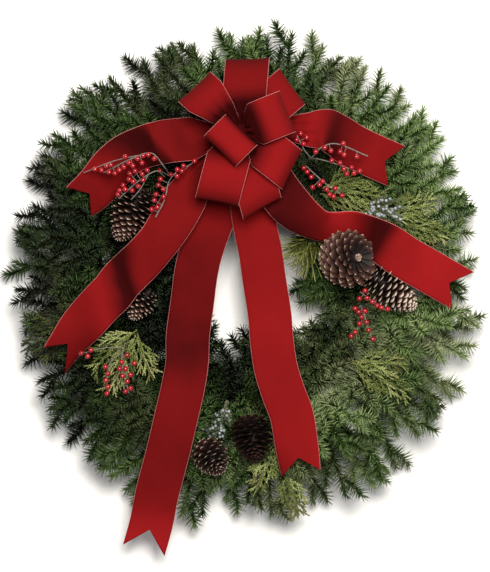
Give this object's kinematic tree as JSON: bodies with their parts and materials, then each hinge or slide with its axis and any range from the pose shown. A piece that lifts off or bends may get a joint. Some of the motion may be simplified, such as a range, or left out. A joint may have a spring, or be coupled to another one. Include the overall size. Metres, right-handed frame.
{
  "type": "fresh evergreen wreath",
  "caption": "Fresh evergreen wreath of fir, cedar, juniper and pine on a wire ring, with pine cones, red berry sprigs and a red velvet ribbon bow with long dovetailed tails.",
  "frame": {"origin": "bottom centre of the whole wreath's box, on the surface that it lies on", "axes": "+Z out of the wreath's face, +Y to its top as it hangs, +X to the right seen from the front"},
  "size_m": [0.7086, 0.7842, 0.2031],
  "materials": {
    "wire": "satin",
    "fir": "matte",
    "cedar": "matte",
    "juniper": "matte",
    "pine": "matte",
    "cone": "matte",
    "berry": "gloss",
    "velvet": "matte"
  },
  "bodies": {
    "root": {"berries_lower_left": "berry", "berries_right_a": "berry", "berries_right_b": "berry", "berries_upper_left_a": "berry", "berries_upper_left_b": "berry", "berries_upper_left_c": "berry", "berries_upper_right_a": "berry", "berries_upper_right_b": "berry", "bow_loops": "velvet", "bow_tie": "wire", "cedar_bottom": "cedar", "cedar_left": "cedar", "cedar_lower_left": "cedar", "cedar_lower_right": "cedar", "cedar_right": "cedar", "cedar_upper_right": "cedar", "cone_left": "cone", "cone_left_small": "cone", "cone_lower": "cone", "cone_lower_small": "cone", "cone_right": "cone", "cone_right_round": "cone", "fir_bunch_01": "fir", "fir_bunch_02": "fir", "fir_bunch_03": "fir", "fir_bunch_04": "fir", "fir_bunch_05": "fir", "fir_bunch_06": "fir", "fir_bunch_07": "fir", "fir_bunch_08": "fir", "fir_bunch_09": "fir", "fir_bunch_10": "fir", "fir_bunch_11": "fir", "fir_bunch_12": "fir", "fir_bunch_13": "fir", "fir_bunch_14": "fir", "fir_bunch_15": "fir", "fir_bunch_16": "fir", "juniper_bottom": "juniper", "juniper_right": "juniper", "pine_right": "pine", "tail_long_centre": "velvet", "tail_long_left": "velvet", "tail_lower_left": "velvet", "tail_right": "velvet", "tail_upper_left": "velvet", "tail_upper_right": "velvet", "wire_ring": "wire"}
  },
  "joints": []
}
